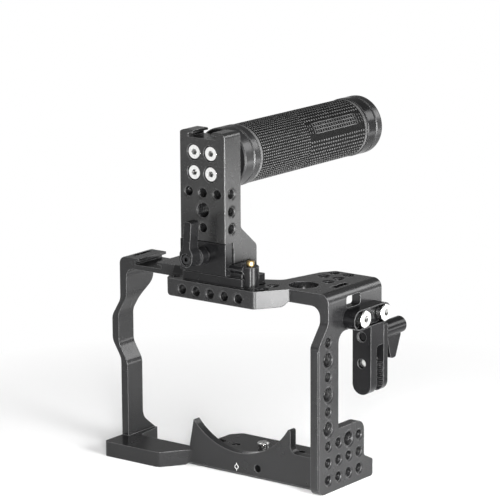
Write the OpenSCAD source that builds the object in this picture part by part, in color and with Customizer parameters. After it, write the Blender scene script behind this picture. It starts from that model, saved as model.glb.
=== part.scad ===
/* [Camera bay] */
// Lens axis to the inner face of the port-side wall
bay_right = 54; // [52:0.5:58]
// Lens axis to the inner face of the grip-side wall
bay_left = 78.4; // [76:0.2:82]
// Height of the lens axis above the underside
lens_z = 53; // [51:0.5:56]
// Radius of the cut-out below the lens mount
lens_r = 40.3; // [36:0.1:42]
// Clear height between the base and the top plate
bay_h = 94.5; // [92:0.5:100]

/* [Frame] */
// Thickness of the base
base_t = 8.5; // [7:0.5:10]
// Thickness of the top plate
top_t = 6; // [5:0.5:7.5]
// Thickness of the port-side wall
wall_t = 5.5; // [4.5:0.1:7]
// Thickness of the grip-side wall
left_t = 4.6; // [3.6:0.1:6]
// Distance from the tripod axis to the front of the side column
col_front = 30.5; // [29:0.5:33]
// Depth of the side column, front to back
col_d = 18; // [16:0.5:20]
// Distance from the tripod axis to the front of the top flange
flange_front = 21.8; // [20:0.2:24]
// Distance from the tripod axis to the rear of the top plate
top_rear = 28; // [27:0.5:34]
// Outer radius where the port-side wall meets the top plate
top_r = 5; // [3:0.5:6]
// Height of the lower edge of the port opening's upper side
port_z = 87; // [84:0.5:88]
// Height of the threaded block beside the column
block_h = 34; // [32:0.5:38]
// Distance from the tripod axis to the rear of the threaded block
block_rear = 11.7; // [10:0.2:15]
// Distance from the tripod axis to the rear of the base
base_rear = 20; // [18:0.5:24]
// Distance from the tripod axis to the front of the base lip
lip_front = 23.5; // [22:0.5:26]
// Thickness of the base lip, front to back
lip_t = 5; // [4:0.5:7]
// Distance from the tripod axis to the front of the base under the hand grip
toe_front = 38; // [34:0.5:42]

/* [Threaded holes] */
// Pitch of the threaded hole grid
pitch = 9.5; // [9:0.1:10]
// Core diameter of the quarter inch threads
quarter_d = 5.2; // [5:0.1:5.6]
// Countersink diameter of the quarter inch threads
quarter_c = 7.2; // [6.6:0.1:7.4]
// Outer diameter of the camera screw
screw_d = 6.35; // [6:0.05:6.35]
// Diameter of the camera screw's neck
neck_d = 4.9; // [4.5:0.1:5.2]
// Height of the camera screw above the base
screw_out = 4.8; // [3.5:0.1:5.5]
// Core diameter of the three eighths inch threads
eighths_d = 8; // [7.8:0.1:8.4]
// Countersink diameter of the three eighths inch threads
eighths_c = 10.4; // [9.6:0.1:10.8]
// Depth of the countersinks
sink = 0.45; // [0.3:0.05:0.45]

/* [Front bar] */
// Length of the bar over the lens
bar_w = 58.5; // [56:0.5:64]
// Distance of the bar's middle to the left of the lens axis
bar_x = 6.8; // [5:0.2:9]
// Distance from the tripod axis to the front of the bar
bar_front = 38.5; // [37:0.5:42]
// Height of the bar's front face
bar_h = 9.6; // [8.5:0.1:11]
// Depth of the bar's front lip
bar_lip = 8; // [6:0.5:10]

/* [Cold shoe arm] */
// Height of the arm's upper side above the top plate
arm_up = 2.8; // [2.4:0.1:3.6]
// Thickness of the arm
arm_t = 6.3; // [5.8:0.1:7.5]
// Depth of the arm, front to back
arm_d = 24; // [22:0.5:28]
// Width of a shoe foot's channel
shoe_w = 18.6; // [18.4:0.1:19]
// Height of a shoe foot's channel
shoe_h = 2.1; // [2:0.1:2.4]
// Gap between the lips over a shoe foot's channel
shoe_gap = 12.8; // [12.4:0.1:13.4]
// Thickness of the lips over a shoe foot's channel
shoe_lip = 1.5; // [1.3:0.1:1.8]

/* [Rail] */
// Length of the quick release rail
rail_l = 40; // [38:0.5:42]
// Width of the rail's foot and, across the flanks, of its head
rail_w = 20.4; // [20:0.1:21.2]
// Height of the rail's foot
rail_foot = 5; // [4.4:0.1:6]
// Height of the rail above its foot
rail_head = 6.7; // [6.4:0.1:7.4]
// Distance from the tripod axis forward to the rail's centre line
rail_y = 26; // [25.6:0.1:26.6]
// Diameter of the safety pin's housing
housing_d = 9.2; // [8.4:0.1:9.6]
// Diameter of the brass safety pin
pin_d = 4.3; // [4:0.1:4.6]
// Stroke of the safety pin
pin_stroke = 2.6; // [1.5:0.1:2.6]

/* [Handle post] */
// Width of the post
post_w = 30.4; // [30:0.1:33]
// Chamfer of the post's upright edges
post_c = 0.8; // [0.4:0.1:1.2]
// Depth of the upper post, front to back
post_d = 13.8; // [13:0.1:16]
// Depth of the post's foot, front to back
foot_d = 27.8; // [27.4:0.1:29]
// Height of the post above the rail
post_h = 71.3; // [69:0.1:75]
// Distance of the grip's axis below the top of the post
grip_drop = 17; // [16:0.1:18]
// Thickness of the moving clamp jaw
jaw_t = 5.6; // [5.2:0.1:6]
// Gap between the tightened jaw and the post
jaw_gap = 1.4; // [1.3:0.1:1.8]
// Height of the moving clamp jaw above the rail's foot
jaw_h = 17.4; // [17:0.1:18.4]
// Diameter of the clamp's stud
stud_d = 5; // [4:0.1:5.2]
// Height of the stud's axis above the rail
stud_up = 4.3; // [4:0.1:5]
// Length of the clamp's lever from its axis
lever_l = 20.8; // [18:0.2:26]
// Width of the clamp's lever
lever_w = 4.6; // [4:0.1:6]
// Depth of the clamp's lever, front to back
lever_t = 7; // [6:0.1:9]
// Angle at which the lever rests
lever_a = 4.5; // [0:0.5:10]
// Spacing of the grip's four screws
grip_square = 11.1; // [10.6:0.1:11.6]

/* [Grip] */
// Diameter of the grip
grip_d = 33.4; // [31:0.2:35]
// Length of the rubber sleeve
sleeve_l = 102; // [80:1:120]
// Diameter of the core inside the sleeve
core_d = 20; // [18:0.2:22]
// Length of the collar between the post and the sleeve
collar_l = 16.2; // [14:0.2:20]
// Length of the ring behind the sleeve
ring_l = 7.4; // [5:0.1:9]
// Length of the end cap
cap_l = 6.3; // [5:0.1:9]

/* [Cable clamp] */
// Thickness of the arm on the side wall
carm_t = 7.8; // [7:0.1:9]
// Height of the arm on the side wall
carm_h = 11; // [10.6:0.1:12]
// Distance from the arm's front end to its first screw
carm_tail = 9.5; // [8:0.1:11]
// Width of the fork that holds the cable
fork_w = 12; // [10.6:0.1:13]
// Height of the fork below the arm
fork_h = 38.7; // [36:0.1:44]
// Thickness of the fork's fixed jaw
fork_front = 5.6; // [5:0.1:6.4]
// Gap between the closed jaws
fork_gap = 6.7; // [6:0.1:7.5]
// Thickness of the fork's moving jaw
fork_back = 3.7; // [3.2:0.1:4.2]
// Length of the thumb screw's head
thumb_l = 21; // [18:0.5:24]
// Length of the thumb screw's wing from its axis
wing_l = 17; // [14:0.5:17.5]

/* [Hidden] */
$fn = 48;
eps = 0.02;
gap = 0.2;
fit = 0.05;

// Frame levels and faces
top_z = base_t + bay_h + top_t;
plate_z = top_z - top_t;
right_x = bay_right + wall_t;
left_x = -bay_left - left_t;
col_rear = col_d - col_front;
arm_z = top_z + arm_up;
arm_low = arm_z - arm_t;
bar_l = -bar_x - bar_w / 2;
bar_r = -bar_x + bar_w / 2;
hump = 1.5;
facet_w = 11.5;
facet_l = norm([facet_w, bar_front - flange_front]);
facet_t = 7;
notch_z = 18.5;
horn_x = lens_r - 4.6;
horn_z = lens_z - 21.6;
horn_a = -asin(21.6 / lens_r);
lip_a = -139;
first_z = 7.2;
reach = 60;
chamfer_l = bar_l - 30;
col_x = -col_front + 9.1;

// Cold shoe on the arm
shoe_l = left_x + 11;
shoe_r = shoe_l + shoe_w;
shoe_z = arm_z - shoe_lip - shoe_h;
arm_r = shoe_r + 9.4;
ramp_d = 5.4;

// Rail
rail_x0 = -26.7;
rail_z = top_z;
rail_screw_x = [rail_x0 + 8, rail_x0 + 27];
foot_z = rail_z + rail_foot;
head_z = foot_z + rail_head;
flank = 2.4;
side_h = 0.7;
bevel = 1.5;
neck_w = rail_w - 2 * flank;
flank_z = head_z - bevel - side_h - flank;
pin_x = 14;
pin_y = -29.5;
notch_x = pin_x - housing_d / 2 - 1.5;
housing_h = rail_foot + rail_head;
slot_top = head_z + gap;
pin_top = head_z + pin_stroke + 0.1;
pin_low = head_z - 1.4 - 1.2 - gap;

// Handle
post_x = -10.8;
post_y = -rail_y - rail_w / 2 - 2.8;
post_l = post_x - post_w / 2;
post_r = post_x + post_w / 2;
hook = 1.5;
jaw_z = foot_z + 1;
hook_z = flank_z + flank - hook - 1.4 * gap;
seam_z = jaw_z + jaw_h;
post_z = head_z + post_h;
post_back = post_y + post_d;
foot_back = post_y + foot_d;
grip_z = post_z - grip_drop;
stud_z = head_z + stud_up;
hub_l = 15;
lever_y = post_y - hub_l;
pocket_y = post_y + jaw_t + jaw_gap;
post_row = seam_z + 7.4;
pin_out = 9.6;
washer_t = 0.8;
guide_d = 2.9;
guide_in = 4.2;
guide_l = 10.4;
coil_d = 4.4;
coil_in = 2.4;

// Grip stations along its axis
spacer = 2.8;
collar_y = post_back + spacer;
sleeve_y = collar_y + collar_l - spacer;
ring_y = sleeve_y + sleeve_l;
cap_y = ring_y + ring_l + 0.8;
cap_end = cap_y + cap_l;

// Cable clamp
carm_x = right_x + carm_t;
recess_d = 3.2;
carm_z = port_z + 0.4 + carm_h / 2;
carm_y = -8.8;
cscrew_y = carm_y + carm_tail;
carm_end = cscrew_y + 2 * pitch + carm_h / 2;
fork_y = cscrew_y + 5.9;
fork_x = carm_x - fork_w;
fork_z = port_z + 0.4 - fork_h;
fork_top = port_z - 0.4;
fork_in = fork_y + fork_front;
fork_slot = fork_in + fork_gap;
fork_mid = carm_x - fork_w / 2;
thumb_z = fork_top - 5.8;
guide_step = 14.8;
guide_z = thumb_z - guide_step;
pin_hole = 5.4;
slot_z = thumb_z - 2.6 - 2.5;

// Direction from a to b with length one
function unit(v) = v / norm(v);

// Points of one corner q between its neighbours p and s; q[2] is its radius
function corner(p, q, s, n) = let (
    a = [q[0], q[1]],
    u = unit([p[0], p[1]] - a),
    w = unit([s[0], s[1]] - a),
    half = acos(u * w) / 2,
    c = a + unit(u + w) * q[2] / sin(half),
    t0 = a + u * q[2] / tan(half) - c,
    t1 = a + w * q[2] / tan(half) - c,
    a0 = atan2(t0[1], t0[0]),
    sweep = (atan2(t1[1], t1[0]) - a0 + 900) % 360 - 180
) [for (i = [0:n]) c + q[2] * [cos(a0 + sweep * i / n), sin(a0 + sweep * i / n)]];

// An outline whose corners [x, y, r] are rounded where r is over zero
function rounded(pts, n = 5) = let (k = len(pts)) [for (i = [0:k - 1])
    each (pts[i][2] > 0 ? corner(pts[(i + k - 1) % k], pts[i], pts[(i + 1) % k], n)
        : [[pts[i][0], pts[i][1]]])];

// Points of an arc about c
function arc(c, r, a0, a1, n) =
    [for (i = [0:n]) c + r * [cos(a0 + (a1 - a0) * i / n), sin(a0 + (a1 - a0) * i / n)]];

// Extrusions of a side, front or top outline
module along_x(x0, x1) {
    translate([x0, 0, 0]) rotate([90, 0, 90]) linear_extrude(x1 - x0) children();
}

module along_y(y0, y1) {
    translate([0, y1, 0]) rotate([90, 0, 0]) linear_extrude(y1 - y0) children();
}

module along_z(z0, z1) {
    translate([0, 0, z0]) linear_extrude(z1 - z0) children();
}

// A box between two corners
module box(a, b) {
    translate(a) cube(b - a);
}

// A countersunk bore that enters along -Z at the origin
module bore(d, c, h) {
    rotate_extrude() polygon([[0, -h], [d / 2, -h], [d / 2, -sink], [c / 2, 0],
        [c / 2, eps], [0, eps]]);
}

module quarter(h) {
    bore(quarter_d, quarter_c, h);
}

module eighths(h) {
    bore(eighths_d, eighths_c, h);
}

// A bore that is entered from the front, the right or above
module from_front(p) {
    translate(p) rotate([90, 0, 0]) children();
}

module from_right(p) {
    translate(p) rotate([0, 90, 0]) children();
}

// A channel for a shoe foot, along Y, with its floor at the origin
module shoe(y0, y1) {
    box([-shoe_w / 2, y0, 0], [shoe_w / 2, y1, shoe_h]);
    box([-shoe_gap / 2, y0, 0], [shoe_gap / 2, y1, shoe_h + shoe_lip + 1]);
}

// Side wall and column on the camera's port side
module right_wall() {
    along_x(bay_right, right_x) polygon(rounded([
        [-col_front, 0, 5], [base_rear, 0, 1.5], [base_rear, 9.5, 1.5],
        [block_rear, 13.5, 2], [block_rear, block_h, 6], [col_rear, block_h, 1],
        [col_rear, port_z, 6], [block_rear + 8, port_z, 4], [top_rear, port_z + 9, 2],
        [top_rear, top_z, 0], [-flange_front, top_z, 0],
        [-flange_front, port_z + 6, 4], [-col_front, port_z - 5, 4]]));
}

// Outline of the top plate, with the opening for the camera's own shoe behind the bar
function plate_outline() = rounded([
    [bar_l, -bar_front, 2], [bar_r, -bar_front, 3],
    [bar_r + facet_w, -flange_front, 0.6], [right_x, -flange_front, 0],
    [right_x, top_rear, 2], [bar_r + 6.7, top_rear, 3], [bar_r + 1.8, top_rear - 8, 4],
    [bar_r - 4.1, -6.3, 6], [bar_r - 16, -rail_y + rail_w / 2 + 3.2, 5],
    [bar_l + 2, -rail_y + rail_w / 2 + 3.2, 5], [arm_r, -flange_front + arm_d, 6],
    [shoe_r + 0.6, -flange_front + arm_d, 0], [shoe_r + 0.6, -flange_front, 0],
    [arm_r, -flange_front, 0]]);

module top_plate() {
    difference() {
        along_z(plate_z, top_z) polygon(plate_outline());
        // Relief over the camera's finder hump
        box([-23, -bar_front + bar_lip, plate_z - 1], [23, 0, plate_z + hump]);
        box([shoe_r, -bar_front, plate_z - 1], [bar_l, arm_d, arm_low]);
        translate([right_x - 25.2, -9.3, plate_z - 1]) cylinder(d = 16.5, h = top_t + 2);
    }
    // Ramps from the shoe down to the bar and to the rail
    intersection() {
        along_z(top_z - 1, arm_z) polygon(plate_outline());
        along_x(arm_r - 1, arm_r + 12) polygon([[-flange_front - ramp_d, top_z - 1],
            [-flange_front - ramp_d, top_z], [-flange_front, arm_z],
            [-flange_front + arm_d, arm_z], [-flange_front + arm_d, top_z - 1]]);
        along_y(-bar_front, arm_d) polygon([[arm_r - 1, top_z - 1], [arm_r + 12, top_z - 1],
            [arm_r + 12, top_z], [arm_r + 3, arm_z], [arm_r - 1, arm_z]]);
    }
    // Front lip of the bar with its slanted end
    intersection() {
        along_z(top_z - bar_h, top_z) polygon(plate_outline());
        union() {
            along_y(-bar_front, -bar_front + bar_lip) polygon(rounded([
                [bar_l, top_z, 0], [bar_l, top_z - bar_h, 2.5],
                [bar_r + 3, top_z - bar_h, 0], [bar_r + 3, top_z, 0]]));
            translate([bar_r, -bar_front, 0])
                rotate([0, 0, atan2(bar_front - flange_front, facet_w)])
                along_y(0, facet_t) polygon(rounded([
                    [-4, top_z, 0], [-4, top_z - bar_h, 0], [facet_l - 3, top_z - bar_h, 6],
                    [facet_l, plate_z, 2], [facet_l + 2, plate_z, 0], [facet_l + 2, top_z, 0]]));
        }
    }
    // Flange in front of the plate, rounded towards the wall
    along_y(-flange_front, -flange_front + 4) polygon(rounded([[bar_r + 9, plate_z - 1, 0],
        [bay_right, plate_z - 1, 5.5], [bay_right, plate_z - 8, 0], [bay_right + 1, plate_z - 8, 0],
        [bay_right + 1, top_z - 1, 0], [bar_r + 9, top_z - 1, 0]], 8));
}

// Arm with the cold shoe and the strap slot on the grip side
module shoe_arm() {
    difference() {
        along_y(-flange_front, -flange_front + arm_d) polygon(rounded([
            [left_x, arm_low - 6, 0], [left_x + left_t, arm_low - 6, 0],
            [left_x + left_t, arm_low, 5], [arm_r, arm_low, 0], [arm_r, arm_z, 0.4],
            [left_x, arm_z, 4]]));
        translate([shoe_l + shoe_w / 2, 0, shoe_z])
            shoe(-flange_front - 1, arm_d - flange_front + 1);
        // Strap slot
        box([left_x + 4.4, -flange_front + 5, arm_low - 2],
            [left_x + 7.4, -flange_front + 20, arm_z + 1]);
    }
}

// Grip-side wall: bulged for the camera's strap lug and narrowed below the arm
module left_wall() {
    o = left_x;
    i = left_x + left_t;
    intersection() {
        along_y(-flange_front, 10) polygon(rounded([
            [o, 0, 0], [i, 0, 0], [i, 51, 8], [i - 6, 61, 8], [i - 6, 79, 8],
            [i, 89, 8], [i, arm_z, 0], [o, arm_z, 4], [o, 87, 8],
            [o - 6, 77, 8], [o - 6, 63, 8], [o, 53, 8]]));
        along_x(o - 8, i + 1) polygon(rounded([
            [-flange_front, 0, 0], [2, 0, 0], [2, base_t, 2], [-flange_front + 13, 17, 8],
            [-flange_front + 13, 88, 6], [-flange_front + arm_d, 95, 7],
            [-flange_front + arm_d, arm_z, 0], [-flange_front, arm_z, 0]]));
    }
}

// Base with its lip under the lens and its toe under the hand grip
module base() {
    along_z(0, base_t) polygon(rounded([
        [right_x - 1, -lip_front, 0], [right_x - 1, base_rear, 0], [-29, base_rear, 3],
        [-34, base_rear - 6, 4], [-34, -flange_front + 5, 5],
        [left_x + left_t + 4, -flange_front + 5, 4], [left_x + left_t + 2, 2, 1], [left_x, 2, 1],
        [left_x, -toe_front, 2.5], [-44, -toe_front, 5], [-34, -lip_front, 5]]));
    along_y(-lip_front, -lip_front + lip_t) polygon(concat(
        rounded([[bay_right + 1, 0, 0], [bay_right + 1, notch_z, 0], [horn_x, notch_z, 4],
            [horn_x, horn_z, 0.9], [lens_r * cos(horn_a), lens_z + lens_r * sin(horn_a), 0]]),
        arc([0, lens_z], lens_r, horn_a - 2, lip_a, 24),
        [[-0.84 * lens_r, base_t], [-0.84 * lens_r, 0]]));
}

module side_holes() {
    for (k = [0:8])
        from_right([right_x, col_x, first_z + k * pitch])
            if (k == 3 || k == 5 || k == 7) eighths(wall_t + 1); else quarter(wall_t + 1);
    for (j = [1:3], k = [0:2])
        from_right([right_x, col_x + j * pitch, first_z + k * pitch])
            if (j == 2 && k == 2) eighths(wall_t + 1); else quarter(wall_t + 1);
    for (y = [cscrew_y, cscrew_y + 2 * pitch])
        from_right([right_x, y, carm_z]) quarter(wall_t + 1);
}

module top_holes() {
    for (p = [[0, 0], [0, 1], [0, 2], [-1, 1], [-1, 2]])
        translate([right_x - 18.7 + p[0] * pitch, top_rear - 4.6 + (p[1] - 2) * pitch, top_z])
            quarter(top_t + 1);
    for (p = [[0, 0], [-1, 0], [0, -1]])
        translate([bar_r + p[0] * pitch, -flange_front + 1.2 + p[1] * pitch, top_z])
            quarter(bar_h + 1);
    translate([bar_l + 1.6, -bar_front + 7, top_z]) quarter(top_t + 1);
    for (k = [-2:2])
        from_front([-bar_x - 0.2 + k * pitch, -bar_front, top_z - bar_h / 2 - 0.5])
            quarter(bar_lip + 1);
}

module base_holes() {
    // Camera screw
    translate([0, 0, -eps]) cylinder(d = 11.8, h = 4.2);
    translate([0, 0, -eps]) cylinder(d = screw_d + 2 * fit, h = base_t + 1);
    for (x = [-2, 2, 3, 4])
        translate([x * pitch, 0, 0]) mirror([0, 0, 1]) quarter(base_t + 1);
    for (y = [-1, 1])
        translate([2 * pitch, y * pitch, 0]) mirror([0, 0, 1]) quarter(base_t + 1);
    translate([-3.25 * pitch, 0, 0]) mirror([0, 0, 1]) eighths(base_t + 1);
    // Locating hole in the lip
    from_front([13.5, -lip_front, 6]) bore(4, 4.4, 6);
}

// The one-piece aluminium cage
module cage_frame() {
    color([0.25, 0.25, 0.26]) difference() {
        union() {
            right_wall();
            top_plate();
            shoe_arm();
            left_wall();
            base();
        }
        // Rounded outer edge along the top of the port side
        difference() {
            box([right_x - top_r, -reach, top_z - top_r], [right_x + 1, reach, top_z + 1]);
            translate([right_x - top_r, reach + 1, top_z - top_r]) rotate([90, 0, 0])
                cylinder(r = top_r, h = 2 * reach + 2);
        }
        // Chamfers down the column and at its foot
        translate([right_x, -col_front, -1]) rotate([0, 0, 45])
            translate([-0.6, -0.6, 0]) cube([1.2, 1.2, port_z - 6]);
        translate([bay_right, -col_front - 1, 0]) rotate([0, 40, 0])
            translate([-9, 0, -9]) cube([18, col_front - lip_front + 0.9, 9]);
        translate([chamfer_l, -lip_front, 0]) rotate([45, 0, 0])
            translate([0, -1.1, -1.1]) cube([bay_right - chamfer_l, 2.2, 2.2]);
        // Strap slots through the plate and the wall
        box([right_x - 11, -5.2, plate_z - 2], [right_x - 6.6, 7.8, top_z + 1]);
        along_x(right_x - 7, right_x + 1) polygon(rounded([
            [-5.2, top_z - 10.2, 1.5], [7.8, top_z - 10.2, 1.5],
            [7.8, top_z - 3.8, 1.5], [-5.2, top_z - 3.8, 1.5]]));
        side_holes();
        top_holes();
        base_holes();
        rail_threads();
    }
}

// Threads for the rail's two screws
module rail_threads() {
    for (x = rail_screw_x)
        translate([x, -rail_y, top_z - top_t - 1]) cylinder(d = 3.4, h = top_t + 2);
}

// Captive screw that holds the camera
module camera_screw() {
    r = screw_d / 2;
    color([0.75, 0.75, 0.76]) difference() {
        translate([0, 0, 0.6]) rotate_extrude() polygon([[0, 0], [5.2, 0], [5.6, 0.4],
            [5.6, 3.2], [neck_d / 2, 3.2], [neck_d / 2, base_t - 0.2],
            [r, base_t - 0.2], [r, base_t + screw_out - 1.2],
            [r - 0.6, base_t + screw_out - 0.6], [0, base_t + screw_out - 0.6]]);
        box([-7, -0.7, 0], [7, 0.7, 1.8]);
    }
}

// Rail for the handle: a foot, a neck and a dovetail head
module nato_rail() {
    h = rail_w / 2;
    n = neck_w / 2;
    color([0.22, 0.22, 0.23]) difference() {
        along_x(rail_x0, rail_x0 + rail_l) translate([-rail_y, 0]) polygon([
            [-h, rail_z], [h, rail_z], [h, foot_z], [n, foot_z], [n, flank_z],
            [h, flank_z + flank], [h, head_z - bevel], [h - bevel, head_z],
            [bevel - h, head_z], [-h, head_z - bevel], [-h, flank_z + flank],
            [-n, flank_z], [-n, foot_z], [-h, foot_z]]);
        // Half-round seat of the pin housing
        translate([pin_x, pin_y, rail_z - 1]) cylinder(d = housing_d + 0.4, h = 30);
        box([notch_x, pin_y, foot_z], [rail_x0 + rail_l + 1, 0, head_z + 1]);
        for (x = rail_screw_x) translate([x, -rail_y, 0]) {
            translate([0, 0, rail_z - 1]) cylinder(d = 4.3, h = 30);
            translate([0, 0, foot_z]) cylinder(d = 7.6, h = 30);
        }
    }
}

// Two socket screws that hold the rail
module rail_screws() {
    color([0.7, 0.7, 0.72]) for (x = rail_screw_x)
        translate([x, -rail_y, 0]) difference() {
            union() {
                translate([0, 0, foot_z]) cylinder(d = 7, h = 4);
                translate([0, 0, plate_z + hump + 0.3]) cylinder(d = 3.35, h = foot_z - plate_z);
            }
            translate([0, 0, foot_z + 2]) cylinder(d = 3.4, h = 3, $fn = 6);
        }
}

// Housing of the safety pin at the end of the rail
module pin_housing() {
    color([0.2, 0.2, 0.21]) translate([pin_x, pin_y, 0]) difference() {
        translate([0, 0, rail_z]) rotate_extrude() polygon([[0, 0], [housing_d / 2, 0],
            [housing_d / 2, housing_h - 0.5], [housing_d / 2 - 0.5, housing_h],
            [0, housing_h]]);
        translate([0, 0, rail_z + 1.2]) cylinder(d = pin_d + 1.8, h = housing_h - 2.6);
        translate([0, 0, rail_z + 2]) cylinder(d = pin_d + 2 * fit, h = housing_h);
    }
}

// Brass pin that stops the handle until it is pressed down
module safety_pin() {
    r = pin_d / 2;
    color([0.83, 0.68, 0.35]) translate([pin_x, pin_y, 0]) rotate_extrude() polygon([
        [0, pin_low], [r + 0.7, pin_low], [r + 0.7, pin_low + 1.2], [r, pin_low + 1.2],
        [r, pin_top - 0.5], [r - 0.5, pin_top], [0, pin_top]]);
}

// Spring under the safety pin
module pin_spring() {
    color([0.8, 0.8, 0.8]) translate([pin_x, pin_y, rail_z + 1.2]) difference() {
        cylinder(d = pin_d + 0.9, h = pin_low - rail_z - 1.2);
        translate([0, 0, -1]) cylinder(d = pin_d - 0.5, h = housing_h);
    }
}

// Post that carries the grip and holds the rail's rear flank
module handle_post() {
    h = rail_w / 2;
    color([0.25, 0.25, 0.26]) difference() {
        intersection() {
            along_x(post_l, post_r) polygon(rounded([
                [post_y, seam_z + 0.2, 0.6], [post_y, post_z, 1.2],
                [post_back, post_z, 1.2], [post_back, seam_z + 7, 3],
                [foot_back, seam_z - 4.4, 3], [foot_back, jaw_z, 1],
                [-rail_y + h - hook, jaw_z, 0], [-rail_y + h - hook, hook_z, 0],
                [-rail_y + h + gap, hook_z + hook + gap, 0],
                [-rail_y + h + gap, head_z - bevel + 0.1, 0],
                [-rail_y + h - bevel + 0.1, slot_top, 0],
                [pocket_y + 0.7, slot_top, 0], [pocket_y + 0.7, stud_z + 4, 0],
                [pocket_y, stud_z + 4.7, 0], [pocket_y, seam_z + 0.2, 0]]));
            along_y(post_y - 1, foot_back + 1) polygon(rounded([
                [post_l, jaw_z - 1, 0], [post_r, jaw_z - 1, 0],
                [post_r, post_z, 2.6], [post_l, post_z, 2.6]]));
            along_z(jaw_z - 1, post_z + 1) polygon(rounded([
                [post_l, post_y, post_c], [post_r, post_y, post_c],
                [post_r, foot_back + 1, 0], [post_l, foot_back + 1, 0]], 3));
        }
        // Cold shoe in the top
        translate([post_x, 0, post_z - shoe_lip - shoe_h]) shoe(post_y - 1, post_back + 1);
        // Counterbored grip screws
        for (i = [-1, 1], k = [-1, 1])
            from_front([post_x + i * grip_square / 2, post_y, grip_z + k * grip_square / 2]) {
                translate([0, 0, -4.4]) cylinder(d = 9, h = 6);
                translate([0, 0, -post_d - 1]) cylinder(d = 4.4, h = post_d + 2);
            }
        // Accessory threads in the front and in the sides
        for (k = [-1:1])
            from_front([post_x + k * pitch, post_y, post_row + 2 * pitch]) quarter(post_d + 1);
        from_front([post_x, post_y, post_row + pitch]) eighths(post_d + 1);
        from_front([post_x, post_y, post_row]) quarter(post_d + 1);
        for (k = [0:2]) {
            from_right([post_r, post_y + 6, post_row + k * pitch]) quarter(5);
            mirror([1, 0, 0]) from_right([-post_l, post_y + 6, post_row + k * pitch]) quarter(5);
        }
        // Clamp stud, guide pins and springs of the moving jaw
        translate([post_x, pocket_y - 1, stud_z]) rotate([-90, 0, 0])
            cylinder(d = stud_d + 2 * fit, h = foot_d - jaw_t + 2);
        for (s = [-1, 1]) translate([post_x + s * pin_out, pocket_y, stud_z + 0.8])
            rotate([-90, 0, 0]) {
                translate([0, 0, -1]) cylinder(d = guide_d + 2 * fit, h = guide_l);
                translate([0, 0, -1]) cylinder(d = coil_d + 2 * gap, h = coil_in + 1.2);
            }
    }
}

// Four socket screws through the post into the grip
module grip_screws() {
    color([0.78, 0.78, 0.79]) for (i = [-1, 1], k = [-1, 1])
        from_front([post_x + i * grip_square / 2, post_y, grip_z + k * grip_square / 2])
            difference() {
                union() {
                    translate([0, 0, -4.4]) cylinder(d = 7.6, h = 4);
                    translate([0, 0, -post_d - spacer - 9]) cylinder(d = 4, h = post_d + spacer + 5);
                }
                translate([0, 0, -2.6]) cylinder(d = 3.5, h = 3, $fn = 6);
            }
}

// Frame of the grip, with its axis along +Y through the post
module on_grip() {
    translate([post_x, 0, grip_z]) rotate([-90, 0, 0]) children();
}

// Collar between the post and the sleeve
module front_collar() {
    r = grip_d / 2;
    color([0.16, 0.16, 0.17]) difference() {
        on_grip() rotate_extrude() polygon([[0, post_back], [12.5, post_back],
            [12.5, collar_y], [r - 0.6, collar_y], [r, collar_y + 0.6],
            [r, collar_y + 7.2], [r - 0.5, collar_y + 7.6], [r - 0.5, collar_y + 8.2],
            [r, collar_y + 8.6], [r, sleeve_y - 0.4], [r - 0.4, sleeve_y], [0, sleeve_y]]);
        for (i = [-1, 1], k = [-1, 1])
            from_front([post_x + i * grip_square / 2, post_back, grip_z + k * grip_square / 2])
                translate([0, 0, -spacer - 9.5]) cylinder(d = 4, h = spacer + 10);
    }
}

// Aluminium core of the grip
module grip_core() {
    color([0.5, 0.5, 0.52]) on_grip() translate([0, 0, sleeve_y]) difference() {
        cylinder(d = core_d, h = cap_y - sleeve_y);
        translate([0, 0, -1]) cylinder(d = core_d - 6, h = cap_y - sleeve_y + 2);
    }
}

// Rubber sleeve over the core
module rubber_sleeve() {
    r = grip_d / 2 - 0.3;
    color([0.1, 0.1, 0.1]) on_grip() rotate_extrude() polygon([
        [core_d / 2, sleeve_y], [r - 0.4, sleeve_y], [r, sleeve_y + 0.6],
        [r, ring_y - 0.6], [r - 0.4, ring_y], [core_d / 2, ring_y]]);
}

// Ring behind the sleeve
module rear_ring() {
    r = grip_d / 2;
    color([0.16, 0.16, 0.17]) on_grip() rotate_extrude() polygon([
        [core_d / 2, ring_y], [r - 0.4, ring_y], [r, ring_y + 0.4],
        [r, ring_y + ring_l - 0.4], [r - 0.4, ring_y + ring_l], [core_d / 2, ring_y + ring_l]]);
}

// Cap on the end of the grip
module end_cap() {
    r = grip_d / 2;
    color([0.16, 0.16, 0.17]) on_grip() difference() {
        rotate_extrude() polygon(concat([[0, cap_y], [r - 0.5, cap_y], [r, cap_y + 0.5]],
            arc([r - 1.8, cap_end - 1.8], 1.8, 0, 90, 5), [[0, cap_end]]));
        translate([0, 0, cap_end - 2]) cylinder(d = 5, h = 3, $fn = 6);
    }
}

// Moving jaw that presses the rail's front flank
module clamp_jaw() {
    h = rail_w / 2;
    b = post_y + jaw_t;
    color([0.24, 0.24, 0.25]) difference() {
        along_x(post_l, post_r) polygon(rounded([
            [post_y, jaw_z, 0.6], [-rail_y - h + hook, jaw_z, 0],
            [-rail_y - h + hook, hook_z, 0], [-rail_y - h - gap, hook_z + hook + gap, 0],
            [-rail_y - h - gap, head_z - bevel + 0.1, 0],
            [-rail_y - h + bevel - 0.1, slot_top, 0], [b, slot_top, 0],
            [b, seam_z, 0], [post_y, seam_z, 0.6]]));
        translate([post_x, post_y - 1, stud_z]) rotate([-90, 0, 0])
            cylinder(d = stud_d + 2 * fit, h = jaw_t + 2);
        for (s = [-1, 1]) translate([post_x + s * pin_out, b - guide_in, stud_z + 0.8])
            rotate([-90, 0, 0]) cylinder(d = guide_d, h = guide_in + 1);
    }
}

// Two pins that keep the moving jaw square
module jaw_pins() {
    color([0.75, 0.75, 0.76]) for (s = [-1, 1])
        translate([post_x + s * pin_out, post_y + jaw_t - guide_in, stud_z + 0.8])
            rotate([-90, 0, 0]) cylinder(d = guide_d, h = guide_l);
}

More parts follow.
